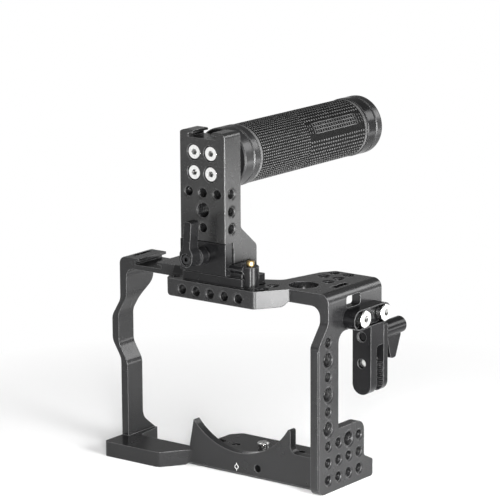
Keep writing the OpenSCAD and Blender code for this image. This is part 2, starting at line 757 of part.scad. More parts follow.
// Springs that open the moving jaw
module jaw_springs() {
    color([0.8, 0.8, 0.8]) for (s = [-1, 1])
        translate([post_x + s * pin_out, post_y + jaw_t + 0.05, stud_z + 0.8])
            rotate([-90, 0, 0]) difference() {
                cylinder(d = coil_d, h = jaw_gap + coil_in - 2 * fit);
                translate([0, 0, -1]) cylinder(d = guide_d + 2 * fit, h = guide_l);
            }
}

// Threaded stud of the clamp, turned by the lever
module clamp_stud() {
    color([0.6, 0.6, 0.62]) translate([post_x, 0, stud_z]) rotate([-90, 0, 0]) {
        translate([0, 0, lever_y + 2]) cylinder(d = stud_d, h = foot_d + hub_l - 3);
    }
}

// Lever with its stepped hub
module clamp_lever() {
    w = lever_w / 2;
    color([0.3, 0.3, 0.31]) translate([post_x, 0, stud_z]) rotate([0, lever_a, 0])
        difference() {
            union() {
                along_y(lever_y, lever_y + lever_t) polygon(rounded([
                    [-4.2, -4.2, 4.1], [4.2, -4.2, 4.1], [4.2, 3.4, 2], [w, 6.5, 2],
                    [w, lever_l, 1.2], [-w, lever_l, 1.2], [-w, 6.5, 2], [-4.2, 3.4, 2]]));
                rotate([-90, 0, 0]) rotate_extrude() polygon([
                    [0, lever_y + 4], [4.2, lever_y + 4], [4.2, lever_y + lever_t + 1],
                    [3.7, lever_y + lever_t + 1.5], [4.7, lever_y + lever_t + 2],
                    [4.7, post_y - washer_t], [0, post_y - washer_t]]);
            }
            rotate([-90, 0, 0]) {
                translate([0, 0, lever_y - 1]) cylinder(d = stud_d, h = 20);
                translate([0, 0, lever_y - 1]) cylinder(d = 6.4, h = 3);
            }
        }
}

// Washer between the lever's hub and the jaw
module lever_washer() {
    color([0.7, 0.7, 0.72]) translate([post_x, post_y - washer_t, stud_z]) rotate([-90, 0, 0])
        difference() {
            cylinder(d = 9.8, h = washer_t);
            translate([0, 0, -1]) cylinder(d = stud_d + 0.2, h = 3);
        }
}

// Socket screw in the front of the lever
module lever_screw() {
    color([0.8, 0.8, 0.8]) translate([post_x, lever_y + 0.4, stud_z]) rotate([-90, 0, 0]) difference() {
        cylinder(d = 5.2, h = 1.6);
        translate([0, 0, -1]) cylinder(d = 2.6, h = 2, $fn = 6);
    }
}

// Arm of the cable clamp with the fork's fixed jaw
module cable_arm() {
    r = carm_h / 2;
    t = 0.6;
    z = fork_z;
    color([0.15, 0.15, 0.16]) difference() {
        union() {
            along_x(right_x, carm_x) polygon(rounded([
                [carm_y, carm_z - r, r - 0.01], [carm_end, carm_z - r, r - 0.01],
                [carm_end, carm_z + r, r - 0.01], [carm_y, carm_z + r, r - 0.01]], 8));
            intersection() {
                union() {
                    along_x(right_x + gap, carm_x) polygon(fork_profile(carm_z - r + 1));
                    along_x(fork_x, carm_x) polygon(fork_profile(fork_top));
                }
                along_y(fork_y - 1, fork_slot + 1) polygon(rounded([
                    [fork_x, z, fork_w / 2 - 0.1], [carm_x, z, fork_w / 2 - 0.1],
                    [carm_x, carm_z, 0], [fork_x, carm_z, 0]], 8));
            }
        }
        // Recess of the two screws
        along_x(carm_x - recess_d, carm_x + 1) polygon(rounded([
            [carm_y + t, carm_z - r + t, r - t - 0.01],
            [carm_end - t, carm_z - r + t, r - t - 0.01],
            [carm_end - t, carm_z + r - t, r - t - 0.01],
            [carm_y + t, carm_z + r - t, r - t - 0.01]], 8));
        for (y = [cscrew_y, cscrew_y + 2 * pitch])
            from_right([carm_x, y, carm_z]) translate([0, 0, -carm_t - 1])
                cylinder(d = 5.3, h = carm_t + 1);
        // Thumb screw thread and guide pin
        translate([fork_mid, fork_y - 1, thumb_z]) rotate([-90, 0, 0])
            cylinder(d = 5, h = fork_front + fork_gap + 2);
        translate([fork_mid, fork_y - 1, thumb_z]) rotate([-90, 0, 0])
            cylinder(d = 6, h = 1.8);
        translate([fork_mid, fork_y - 1, guide_z]) rotate([-90, 0, 0])
            cylinder(d = pin_hole, h = 3.5);
        translate([fork_mid, fork_y - 1, guide_z]) rotate([-90, 0, 0])
            cylinder(d = 4.2, h = fork_front + 2);
    }
    // Ribs in the recess between the screws
    color([0.5, 0.5, 0.5]) for (k = [-2:2])
        translate([carm_x - recess_d, cscrew_y + pitch + k * 1.5, carm_z]) rotate([18, 0, 0])
            translate([0, 0, -2.4]) cylinder(r = 0.5, h = 4.8, $fn = 16);
}

// Side outline of the fork's fixed jaw, with teeth low in its inner face
function fork_profile(top) = concat(
    [[fork_y, top], [fork_y, fork_z]],
    [for (k = [0:7]) each [[fork_in - 0.1, fork_z + 2.2 * k], [fork_in + 0.6, fork_z + 2.2 * k + 1.1]]],
    [[fork_in, fork_z + 17.6], [fork_in, slot_z - 2]],
    arc([fork_in + 2, slot_z - 2], 2, 180, 90, 4),
    [[fork_slot - gap, slot_z], [fork_slot - gap, top]]);

// Two screws that hold the clamp's arm
module arm_screws() {
    color([0.85, 0.85, 0.86]) for (y = [cscrew_y, cscrew_y + 2 * pitch])
        from_right([carm_x - recess_d, y, carm_z]) difference() {
            union() {
                rotate_extrude() polygon([[0, 0], [4.2, 0], [4.65, 0.4], [4.65, 3.9],
                    [4.2, 4.3], [0, 4.3]]);
                translate([0, 0, -carm_t - 1.6]) cylinder(d = 5, h = carm_t + 2);
            }
            translate([0, 0, 2]) cylinder(d = 4.2, h = 3, $fn = 6);
        }
}

// Moving jaw of the cable clamp
module cable_jaw() {
    color([0.3, 0.3, 0.31]) difference() {
        intersection() {
            along_x(fork_x, carm_x) polygon(concat(
                [[fork_slot + fork_back, fork_z], [fork_slot + fork_back, fork_top - 0.4],
                [fork_slot, fork_top - 0.4], [fork_slot, fork_z + 17.6]],
                [for (k = [7:-1:0]) each [[fork_slot - 0.6, fork_z + 2.2 * k + 1.1],
                    [fork_slot + 0.1, fork_z + 2.2 * k]]]));
            along_y(fork_slot - 1, fork_slot + fork_back + 1) polygon(rounded([
                [fork_x, fork_z, fork_w / 2 - 0.1], [carm_x, fork_z, fork_w / 2 - 0.1],
                [carm_x, fork_top, 1], [fork_x, fork_top, 1]], 8));
        }
        translate([fork_mid, fork_slot - 1, thumb_z]) rotate([-90, 0, 0])
            cylinder(d = 5.1, h = fork_back + 2);
        translate([fork_mid, fork_slot - 1, guide_z]) rotate([-90, 0, 0])
            cylinder(d = 4.2 + 2 * fit, h = fork_back + 2);
    }
}

// Pin that guides the moving jaw
module guide_pin() {
    color([0.85, 0.85, 0.86]) translate([fork_mid, fork_y + 2.1, guide_z]) rotate([-90, 0, 0])
        cylinder(d = 4.2, h = fork_front + fork_gap + fork_back - 2.1);
}

// Thumb screw with a hub and a tapered wing
module thumb_screw() {
    y0 = fork_slot + fork_back;
    color([0.28, 0.28, 0.29]) {
        translate([fork_mid, 0, thumb_z]) rotate([-90, 0, 0]) rotate_extrude() polygon([
            [0, fork_y + 1.8], [2.05, fork_y + 1.8], [2.45, fork_y + 2.2], [2.45, y0],
            [4.2, y0], [4.2, y0 + 2],
            [4.6, y0 + 2.6], [4.6, y0 + thumb_l - 0.7], [3.9, y0 + thumb_l], [0, y0 + thumb_l]]);
        along_x(fork_mid - 1.7, fork_mid + 1.7) polygon(rounded([
            [y0 + 5.4, thumb_z - 1, 0], [y0 + 9.4, thumb_z - wing_l, 1.8],
            [y0 + 14, thumb_z - wing_l, 1.8], [y0 + thumb_l - 2, thumb_z - 5, 3],
            [y0 + thumb_l - 2, thumb_z - 1, 0]]));
    }
}

cage_frame();
camera_screw();
nato_rail();
rail_screws();
pin_housing();
safety_pin();
pin_spring();
handle_post();
grip_screws();
front_collar();
grip_core();
rubber_sleeve();
rear_ring();
end_cap();
clamp_jaw();
jaw_pins();
jaw_springs();
clamp_stud();
clamp_lever();
lever_washer();
lever_screw();
cable_arm();
arm_screws();
cable_jaw();
guide_pin();
thumb_screw();
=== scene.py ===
import math

import bmesh
import bpy
from bpy.props import FloatProperty, FloatVectorProperty, PointerProperty
from mathutils import Matrix, Vector


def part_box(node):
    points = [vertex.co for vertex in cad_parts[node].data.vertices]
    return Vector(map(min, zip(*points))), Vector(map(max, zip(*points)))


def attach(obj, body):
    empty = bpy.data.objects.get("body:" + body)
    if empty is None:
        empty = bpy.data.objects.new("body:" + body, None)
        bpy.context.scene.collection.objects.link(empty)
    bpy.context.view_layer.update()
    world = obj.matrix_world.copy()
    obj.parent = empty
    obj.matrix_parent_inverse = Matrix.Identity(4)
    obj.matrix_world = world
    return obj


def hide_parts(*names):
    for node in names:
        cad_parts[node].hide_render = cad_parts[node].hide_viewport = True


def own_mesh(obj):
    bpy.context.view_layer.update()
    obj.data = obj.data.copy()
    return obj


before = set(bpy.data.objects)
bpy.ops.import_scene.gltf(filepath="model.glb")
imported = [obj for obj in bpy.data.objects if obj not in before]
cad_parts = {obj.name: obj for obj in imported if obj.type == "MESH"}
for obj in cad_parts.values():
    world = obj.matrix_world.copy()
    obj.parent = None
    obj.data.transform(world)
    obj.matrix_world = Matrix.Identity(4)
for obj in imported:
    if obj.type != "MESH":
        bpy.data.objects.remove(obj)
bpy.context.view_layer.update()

bl_info = {
    "name": "Camera cage finish",
    "version": (1, 0, 0),
    "blender": (4, 5, 0),
    "location": "View3D > Sidebar > Camera cage",
    "description": "Finishes, threads, pin spring and studded grip sleeve of a camera cage",
    "category": "Object",
}

MM = 0.001
SLEEVE_LOW, SLEEVE_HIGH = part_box("rubber_sleeve")
GRIP = (SLEEVE_LOW + SLEEVE_HIGH) / 2
MERGE = 0.001 * MM

# Which finish each aluminium part has
ALUMINIUM = {
    "cage_frame": "cage", "handle_post": "handle", "clamp_jaw": "black",
    "clamp_lever": "black", "nato_rail": "black", "pin_housing": "black",
    "front_collar": "ring", "rear_ring": "black", "end_cap": "ring",
    "cable_arm": "clamp", "cable_jaw": "clamp", "thumb_screw": "clamp",
}
# Each finish: the material's name, its colour, roughness and specular level
FINISHES = {
    "cage": ("charcoal anodised cage", "cage", 0.25, 0.37),
    "handle": ("charcoal anodised handle", "handle", 0.27, 0.45),
    "black": ("black anodised parts", "black", 0.22, 0.2),
    "ring": ("satin anodised grip ends", "cage", 0.3, 0.45),
    "clamp": ("black anodised clamp", "clamp", 0.22, 0.15),
}
THREAD_FINISH = (0.26, 0.8)
STEEL = ("camera_screw", "rail_screws", "jaw_pins", "clamp_stud", "guide_pin", "pin_spring",
         "jaw_springs")
BRIGHT_SCREWS = ("grip_screws", "arm_screws")
DARK_SCREWS = ("lever_screw", "lever_washer")
BRIGHT_NICKEL = (0.9, 0.9, 0.89)
DARK_STEEL = (0.06, 0.06, 0.062)
PLAIN_ALUMINIUM = (0.6, 0.6, 0.62)

# Sleeve: its plain rims, the share with fine studs, and the studs' width and length by pitch
RIM = 0.8 * MM
SLEEVE_STEPS = 96
FINE_SHARE = 0.46
FINE_STUD = (0.5, 0.66)
FINE_CROWDING = 0.9
COARSE_STUD = (0.58, 0.62)
STUD_TAPER = 0.64
STUD_SINK = 0.02 * MM
HALF_DIAGONAL = 0.7071

# Ribs along the sleeve, from RIB_ANGLE above +X, with bars between them; gaps in rib pitches
RIBS = 4
RIB_PITCH = 2 * MM
RIB_WIDTH = 0.75 * MM
RIB_ANGLE = 19
RIB_GAP = 1.1
RIB_SHORT = 0.6 * MM
BAR_WIDTH = 1.7 * MM
BAR_LENGTH, BAR_HEIGHT = 0.34, 0.85

# Steps in a turn of a thread or a spring
WIND_STEPS = 20

# Spring of the safety pin
COIL_WIRE = 0.3 * MM
COIL_TURNS = 5

# Axis mark on the front lip: a ring with a tick above and below
MARK_CENTRE = Vector((-0.8, -23.5, 4.6)) * MM
MARK_RADIUS = 1.15 * MM
MARK_LINE = 0.16 * MM
MARK_STEPS = 28
TICK_HEIGHT = 1.7 * MM
TICK_SIZE = (0.3 * MM, 0.12 * MM, 1.1 * MM)

# Thread ridges of 1/4-20 and 3/8-16: radius of the bore, pitch and height, in mm
GRID = 9.5
QUARTER = (2.6, 25.4 / 20, 0.34)
EIGHTHS = (4.0, 25.4 / 16, 0.42)
# Half a ridge's width by pitch, its distance from the bore's end, and how much shorter it is
RIDGE_HALF = 0.42
RIDGE_START = 0.7
RIDGE_SHORT = 1.5

# Rows of threads, in mm: first mouth, step to the next, how many, way out, depth, the 3/8 ones
CAGE_THREADS = (
    ((-26, -38.5, 103.7), (GRID, 0, 0), 5, (0, -1, 0), 7.6, ()),
    ((59.5, -21.4, 7.2), (0, 0, GRID), 9, (1, 0, 0), 5.5, (3, 5, 7)),
    ((59.5, -11.9, 7.2), (0, 0, GRID), 3, (1, 0, 0), 5.5, ()),
    ((59.5, -2.4, 7.2), (0, 0, GRID), 3, (1, 0, 0), 5.5, (2,)),
    ((59.5, 7.1, 7.2), (0, 0, GRID), 3, (1, 0, 0), 5.5, ()),
    ((40.8, 4.4, 109), (0, GRID, 0), 3, (0, 0, 1), 6, ()),
    ((31.3, 13.9, 109), (0, GRID, 0), 2, (0, 0, 1), 6, ()),
    ((22.45, -20.6, 109), (-GRID, 0, 0), 2, (0, 0, 1), 5.6, ()),
    ((-34.45, -31.5, 109), (0, 0, 0), 1, (0, 0, 1), 5.6, ()),
    ((-19, 0, 0), (38, 0, 0), 2, (0, 0, -1), 8, ()),
    ((28.5, 0, 0), (GRID, 0, 0), 2, (0, 0, -1), 8, ()),
)
POST_THREADS = (
    ((-20.3, -39, 158.8), (GRID, 0, 0), 3, (0, -1, 0), 13, ()),
    ((-10.8, -39, 139.8), (0, 0, GRID), 2, (0, -1, 0), 13, (1,)),
    ((4.4, -33, 139.8), (0, 0, GRID), 3, (1, 0, 0), 4.6, ()),
    ((-26, -33, 139.8), (0, 0, GRID), 3, (-1, 0, 0), 4.6, ()),
)

# Stage, in metres and watts; azimuth 0 is in front and 90 to the right
FLOOR_HALF = 6
FLOOR_DROP = 0.01 * MM
FLOOR_FADE = (0.1, 0.3)
HORIZON = (0.08, 0.2)
OVERHEAD = 0.22
LAMP_AIM = Vector((0, 0, 90 * MM))
LAMPS = (
    # name, azimuth, elevation, distance, width, height, power
    ("facet_strip", 74, 4, 0.38, 0.16, 0.26, 3.6),
    ("housing_strip", 35, 0, 0.44, 0.05, 0.2, 2.4),
    ("cap_box", 150, 25, 1.1, 0.36, 0.36, 2.6),
    ("side_box", 143, -8, 0.5, 0.22, 0.08, 0.26),
    ("left_box", -60, 40, 1.2, 0.9, 0.9, 3.4),
    ("top_box", 40, 75, 1.2, 0.9, 0.9, 5),
)
CAMERA_AZIMUTH, CAMERA_ELEVATION, CAMERA_ROLL = 36.996, 12.651, -0.304
CAMERA_AIM = Vector((-8.52, 0, 120.86)) * MM
CAMERA_DISTANCE = 1539.2 * MM
CAMERA_LENS, CAMERA_SENSOR = 202.83, 36


class CageSizes(bpy.types.PropertyGroup):
    """Sizes of the pieces that are added to the machined parts"""

    grain: FloatProperty(
        name="Blast grain", description="Size of the bead-blasted grain",
        default=0.22 * MM, min=0.05 * MM, max=1 * MM, subtype="DISTANCE", unit="LENGTH")
    edge: FloatProperty(
        name="Edge radius", description="Broken edge of the machined parts",
        default=0.5 * MM, min=0.05 * MM, max=1 * MM, subtype="DISTANCE", unit="LENGTH")
    fine_pitch: FloatProperty(
        name="Fine stud pitch", description="Pitch of the studs near the front collar",
        default=1.75 * MM, min=1.2 * MM, max=3 * MM, subtype="DISTANCE", unit="LENGTH")
    coarse_pitch: FloatProperty(
        name="Coarse stud pitch", description="Pitch of the studs near the end cap",
        default=2.3 * MM, min=1.5 * MM, max=4 * MM, subtype="DISTANCE", unit="LENGTH")
    stud_height: FloatProperty(
        name="Stud height", description="Height of the sleeve's studs",
        default=0.45 * MM, min=0.1 * MM, max=0.9 * MM, subtype="DISTANCE", unit="LENGTH")


class CageColours(bpy.types.PropertyGroup):
    """Colours of the finishes"""

    cage: FloatVectorProperty(
        name="Cage", description="Anodised aluminium of the cage",
        default=(0.01, 0.01, 0.0104), size=3, min=0, max=1, subtype="COLOR")
    handle: FloatVectorProperty(
        name="Handle", description="Anodised aluminium of the post",
        default=(0.012, 0.012, 0.012), size=3, min=0, max=1, subtype="COLOR")
    black: FloatVectorProperty(
        name="Black parts", description="Black anodised rail, foot clamp and pin housing",
        default=(0.006, 0.006, 0.0064), size=3, min=0, max=1, subtype="COLOR")
    clamp: FloatVectorProperty(
        name="Cable clamp", description="Black anodised cable clamp",
        default=(0.005, 0.005, 0.0054), size=3, min=0, max=1, subtype="COLOR")
    steel: FloatVectorProperty(
        name="Steel", description="Nickel-plated screws and pins",
        default=(0.74, 0.74, 0.73), size=3, min=0, max=1, subtype="COLOR")
    brass: FloatVectorProperty(
        name="Brass", description="Safety pin",
        default=(0.46, 0.33, 0.15), size=3, min=0, max=1, subtype="COLOR")
    rubber: FloatVectorProperty(
        name="Rubber", description="Grip sleeve",
        default=(0.018, 0.018, 0.018), size=3, min=0, max=1, subtype="COLOR")
    floor: FloatVectorProperty(
        name="Floor", description="Floor and backdrop",
        default=(0.95, 0.95, 0.95), size=3, min=0, max=1, subtype="COLOR")


# Materials


def new_material(name):
    """An empty node material with a Principled shader: (material, nodes, links, shader)."""
    material = bpy.data.materials.new(name)
    material.use_nodes = True
    nodes, links = material.node_tree.nodes, material.node_tree.links
    nodes.clear()
    shader = nodes.new("ShaderNodeBsdfPrincipled")
    output = nodes.new("ShaderNodeOutputMaterial")
    links.new(shader.outputs["BSDF"], output.inputs["Surface"])
    return material, nodes, links, shader


def noise(nodes, links, size, detail=2.0, stretch=(1, 1, 1)):
    """A noise of features about size metres across, on the piece's own coordinates."""
    where = nodes.new("ShaderNodeTexCoord")
    mapping = nodes.new("ShaderNodeMapping")
    mapping.inputs["Scale"].default_value = [1 / (size * s) for s in stretch]
    texture = nodes.new("ShaderNodeTexNoise")
    texture.inputs["Scale"].default_value = 1
    texture.inputs["Detail"].default_value = detail
    links.new(where.outputs["Object"], mapping.inputs["Vector"])
    links.new(mapping.outputs["Vector"], texture.inputs["Vector"])
    return texture.outputs["Fac"]


def remap(nodes, links, value, low, high, start=0.3, end=0.7):
    """value from start..end moved to low..high."""
    node = nodes.new("ShaderNodeMapRange")
    for key, number in zip(("From Min", "From Max", "To Min", "To Max"), (start, end, low, high)):
        node.inputs[key].default_value = number
    links.new(value, node.inputs["Value"])
    return node.outputs["Result"]


def mix(nodes, links, factor, first, second):
    """Colour from first to second by factor; each is a colour or a socket."""
    node = nodes.new("ShaderNodeMix")
    node.data_type = "RGBA"
    links.new(factor, node.inputs["Factor"])
    for key, value in (("A", first), ("B", second)):
        socket = [s for s in node.inputs if s.name == key and s.type == "RGBA"][0]
        if isinstance(value, bpy.types.NodeSocket):
            links.new(value, socket)
        else:
            socket.default_value = (*value, 1)
    return [s for s in node.outputs if s.type == "RGBA"][0]


def math_node(nodes, links, operation, *values):
    """The result of a math operation on numbers and sockets."""
    node = nodes.new("ShaderNodeMath")
    node.operation = operation
    for socket, value in zip(node.inputs, values):
        if isinstance(value, bpy.types.NodeSocket):
            links.new(value, socket)
        else:
            socket.default_value = value
    return node.outputs[0]


def bump(nodes, links, height, depth, normal=None):
    """A bump of that depth in metres over height, on top of another normal."""
    node = nodes.new("ShaderNodeBump")
    node.inputs["Strength"].default_value = 1
    node.inputs["Distance"].default_value = depth
    links.new(height, node.inputs["Height"])
    if normal is not None:
        links.new(normal, node.inputs["Normal"])
    return node.outputs["Normal"]


def rounded_edges(nodes, radius):
    """The normal of a surface whose sharp edges are broken by radius."""
    node = nodes.new("ShaderNodeBevel")
    node.samples = 6
    node.inputs["Radius"].default_value = radius
    return node.outputs["Normal"]


def edge_mask(nodes, links, soft_normal):
    """1 on broken edges and 0 on flats."""
    shape = nodes.new("ShaderNodeNewGeometry")
    dot = nodes.new("ShaderNodeVectorMath")
    dot.operation = "DOT_PRODUCT"
    links.new(soft_normal, dot.inputs[0])
    links.new(shape.outputs["Normal"], dot.inputs[1])
    return remap(nodes, links, dot.outputs["Value"], 1, 0, 0.82, 0.985)


def anodised(name, colour, sizes, roughness, gloss):
    """Bead-blasted, dyed and sealed aluminium whose broken edges are lighter, partly from wear
    and partly as a painted highlight.
    """
    material, nodes, links, shader = new_material(name)
    soft = rounded_edges(nodes, sizes.edge)
    edges = edge_mask(nodes, links, soft)
    cloud = remap(nodes, links, noise(nodes, links, 18 * MM, 4), 0, 1)
    darker = [c * 0.92 for c in colour]
    lighter = [min(1, c * 1.08 + 0.001) for c in colour]
    body = mix(nodes, links, cloud, darker, lighter)
    # Broken edges lighter: real wear on the chamfers together with a painted highlight along them
    worn = [min(1, c * 3 + 0.1) for c in colour]
    links.new(mix(nodes, links, edges, body, worn), shader.inputs["Base Color"])
    grain = noise(nodes, links, sizes.grain, 1)
    links.new(bump(nodes, links, grain, 0.003 * MM, soft), shader.inputs["Normal"])
    patches = noise(nodes, links, 9 * MM, 3)
    links.new(remap(nodes, links, patches, roughness - 0.02, roughness + 0.03),
              shader.inputs["Roughness"])
    shader.inputs["Specular IOR Level"].default_value = gloss
    return material


def turned(name, colour, sizes, roughness=0.24):
    """Turned and plated metal with fine tool marks, and painted shade darkening its sockets and
    corners.
    """
    material, nodes, links, shader = new_material(name)
    soft = rounded_edges(nodes, sizes.edge * 0.6)
    marks = noise(nodes, links, 0.35 * MM, 2, (1, 1, 4))
    tint = mix(nodes, links, remap(nodes, links, marks, 0, 1),
               [c * 0.88 for c in colour], [min(1, c * 1.06) for c in colour])
    # Painted shade: ambient occlusion darkens the colour in sockets, corners and recesses
    painted_shade_ao = nodes.new("ShaderNodeAmbientOcclusion")
    painted_shade_ao.samples = 8
    painted_shade_ao.inputs["Distance"].default_value = 2 * MM
    unshaded = remap(nodes, links, painted_shade_ao.outputs["AO"], 0, 1, 0.35, 0.85)
    links.new(mix(nodes, links, unshaded, [c * 0.12 for c in colour], tint),
              shader.inputs["Base Color"])
    links.new(bump(nodes, links, marks, 0.004 * MM, soft), shader.inputs["Normal"])
    smudge = noise(nodes, links, 2.5 * MM, 3)
    links.new(remap(nodes, links, smudge, roughness - 0.06, roughness + 0.08),
              shader.inputs["Roughness"])
    shader.inputs["Metallic"].default_value = 1
    return material


def moulded_rubber(name, colour, skin, top):
    """Matt moulded rubber, with painted shade between its studs and a painted highlight on their
    tops.
    """
    material, nodes, links, shader = new_material(name)
    where, axes = nodes.new("ShaderNodeTexCoord"), nodes.new("ShaderNodeSeparateXYZ")
    links.new(where.outputs["Object"], axes.inputs["Vector"])
    across = math_node(nodes, links, "SUBTRACT", axes.outputs["X"], GRIP.x)
    above = math_node(nodes, links, "SUBTRACT", axes.outputs["Z"], GRIP.z)
    square = [math_node(nodes, links, "MULTIPLY", v, v) for v in (across, above)]
    radius = math_node(nodes, links, "SQRT", math_node(nodes, links, "ADD", *square))
    stud_top_highlight = remap(nodes, links, radius, 0, 1, skin + 0.4 * (top - skin), top - 0.03 * MM)
    dust = remap(nodes, links, noise(nodes, links, 9 * MM, 5), 0.7, 1.3)
    # Painted shade and highlight: the colour darkens towards the skin between the studs and
    # lightens on the stud tops
    pale = mix(nodes, links, math_node(nodes, links, "MULTIPLY", stud_top_highlight, dust),
               [c * 0.12 for c in colour], [c * 4 + 0.022 for c in colour])
    links.new(pale, shader.inputs["Base Color"])
    pores = noise(nodes, links, 0.18 * MM, 2)
    links.new(bump(nodes, links, pores, 0.012 * MM), shader.inputs["Normal"])
    links.new(remap(nodes, links, noise(nodes, links, 3 * MM, 3), 0.5, 0.66),
              shader.inputs["Roughness"])
    shader.inputs["Specular IOR Level"].default_value = 0.14
    return material


def wear(node, material):
    """Put material on a machined part."""
    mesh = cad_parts[node].data
    mesh.materials.clear()
    mesh.materials.append(material)


# Meshes


def sort_mesh(bm):
    """Sort bm by place, because spin leaves its faces in another order on each run."""
    for elements, place in ((bm.verts, lambda vert: vert.co[:]),
                            (bm.faces, lambda face: face.calc_center_median()[:])):
        for index, element in enumerate(sorted(elements, key=place)):
            element.index = index
        elements.sort()


def piece(name, bm, material, body, smooth=True):
    """A finished object from bm, in the part's frame, that rides on body."""
    sort_mesh(bm)
    mesh = bpy.data.meshes.new(name)
    bm.normal_update()
    bm.to_mesh(mesh)
    bm.free()
    for polygon in mesh.polygons:
        polygon.use_smooth = smooth
    mesh.materials.append(material)
    obj = bpy.data.objects.new(name, mesh)
    bpy.context.scene.collection.objects.link(obj)
    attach(obj, body)
    return obj


def join(bm, part):
    """Move the mesh of part into bm."""
    mesh = bpy.data.meshes.new("part")
    part.to_mesh(mesh)
    part.free()
    bm.from_mesh(mesh)
    bpy.data.meshes.remove(mesh)


def turn_to(direction):
    """The turn that takes +Z to direction."""
    return Vector(direction).to_track_quat("Z", "Y").to_matrix().to_4x4()


def with_edges(verts):
    """verts and their edges, each once and in the same order on every run."""
    return verts + list(dict.fromkeys(e for v in verts for e in v.link_edges))


def wind(bm, geom, length, turns):
    """Spin geom about +Z by turns while it rises by length."""
    bmesh.ops.spin(bm, geom=geom, cent=(0, 0, 0), axis=(0, 0, 1),
                   dvec=(0, 0, length / (WIND_STEPS * turns)), angle=2 * math.pi * turns,
                   steps=round(WIND_STEPS * turns), use_merge=False)


def helix_ridge(bm, radius, height, length, pitch, at, direction):
    """A thread's ridge: a triangle swept along a helix in a bore about direction, from at."""
    half = RIDGE_HALF * pitch
    profile = [(radius, -half), (radius - height, 0), (radius, half)]
    verts = [bm.verts.new((r, 0, z)) for r, z in profile]
    edges = [bm.edges.new((verts[i], verts[i + 1])) for i in range(2)]
    wind(bm, verts + edges, length, max(1, length / pitch))
    bmesh.ops.transform(bm, matrix=Matrix.Translation(at) @ turn_to(direction), verts=bm.verts)


def block(bm, radius, y, angle, width, length, height):
    """One tapered rubber block on the grip, at angle above +X; returns its geometry."""
    made = bmesh.ops.create_cone(bm, cap_ends=True, segments=4, radius1=HALF_DIAGONAL,
                                 radius2=HALF_DIAGONAL * STUD_TAPER, depth=1)["verts"]
    around = Matrix.Rotation(math.radians(90 - angle), 4, "Y")
    out = Matrix.Translation((0, y, radius + height / 2 - STUD_SINK))
    size = Matrix.Diagonal((width, length, height, 1)) @ Matrix.Rotation(math.pi / 4, 4, "Z")
    place = Matrix.Translation((GRIP.x, 0, GRIP.z)) @ around @ out @ size
    bmesh.ops.transform(bm, matrix=place, verts=made)
    return with_edges(made) + list(dict.fromkeys(f for v in made for f in v.link_faces))


def ring_of_blocks(bm, radius, y, start, sweep, count, width, length, height):
    """Blocks about the grip at y, from start over sweep degrees."""
    ring = bmesh.new()
    geom = block(ring, radius, y, start, width, length, height)
    bmesh.ops.spin(ring, geom=geom, cent=(GRIP.x, 0, GRIP.z), axis=(0, -1, 0),
                   angle=math.radians(sweep) * (count - 1) / count, steps=count - 1,
                   use_duplicate=True)
    bmesh.ops.recalc_face_normals(ring, faces=ring.faces)
    join(bm, ring)


def sleeve_tube(bm, outer, skin):
    """The sleeve's tube, with a plain rim at each end."""
    core = (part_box("grip_core")[1].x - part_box("grip_core")[0].x) / 2
    y0, y1 = SLEEVE_LOW.y, SLEEVE_HIGH.y
    outline = [(core, y0), (outer - RIM, y0), (outer, y0 + RIM), (outer, y0 + 3 * RIM),
               (skin, y0 + 3.6 * RIM), (skin, y1 - 3.6 * RIM), (outer, y1 - 3 * RIM),
               (outer, y1 - RIM), (outer - RIM, y1), (core, y1)]
    verts = [bm.verts.new((GRIP.x, y, GRIP.z + r)) for r, y in outline]
    edges = [bm.edges.new((verts[i], verts[(i + 1) % len(verts)])) for i in range(len(verts))]
    bmesh.ops.spin(bm, geom=verts + edges, cent=(GRIP.x, 0, GRIP.z), axis=(0, 1, 0),
                   angle=2 * math.pi, steps=SLEEVE_STEPS, use_merge=True)
    bmesh.ops.remove_doubles(bm, verts=bm.verts, dist=MERGE)


def rib_step(skin):
    """Degrees from one rib to the next."""
    return math.degrees(RIB_PITCH / skin)


def fine_studs(bm, first, last, outer, skin, sizes):
    """Rings of fine studs from first to about last; returns where they end."""
    pitch = sizes.fine_pitch
    width, length = (share * pitch for share in FINE_STUD)
    rows = round((last - first) / pitch)
    count = round(2 * math.pi * outer / (pitch * FINE_CROWDING))
    for row in range(rows):
        ring_of_blocks(bm, skin, first + (row + 0.5) * pitch, 0, 360, count, width, length,
                       sizes.stud_height)
    return first + rows * pitch


def coarse_studs(bm, first, last, outer, skin, sizes):
    """Coarse studs all round but for the ribs, and the small bars between the ribs."""
    rows = round((last - first) / sizes.coarse_pitch)
    pitch = (last - first) / rows
    width, length = (share * pitch for share in COARSE_STUD)
    step = rib_step(skin)
    span = step * (RIBS - 1)
    free = 360 - span - 2 * RIB_GAP * step
    count = round(math.radians(free) * outer / pitch)
    for row in range(rows):
        y = first + (row + 0.5) * pitch
        ring_of_blocks(bm, skin, y, RIB_ANGLE + span + step * RIB_GAP, free, count, width,
                       length, sizes.stud_height)
        for rib in range(RIBS - 1):
            block(bm, skin, y, RIB_ANGLE + (rib + 0.5) * step, BAR_WIDTH, pitch * BAR_LENGTH,
                  sizes.stud_height * BAR_HEIGHT)


def thread_rows(bm, rows):
    """The ridges of rows of threads."""
    for first, step, count, way, depth, wide in rows:
        for k in range(count):
            radius, pitch, ridge = EIGHTHS if k in wide else QUARTER
            mouth = (Vector(first) + Vector(step) * k) * MM
            inner = mouth - Vector(way) * (depth - RIDGE_START) * MM
            thread = bmesh.new()
            helix_ridge(thread, radius * MM, ridge * MM, (depth - RIDGE_SHORT) * MM, pitch * MM,
                        inner, way)
            join(bm, thread)


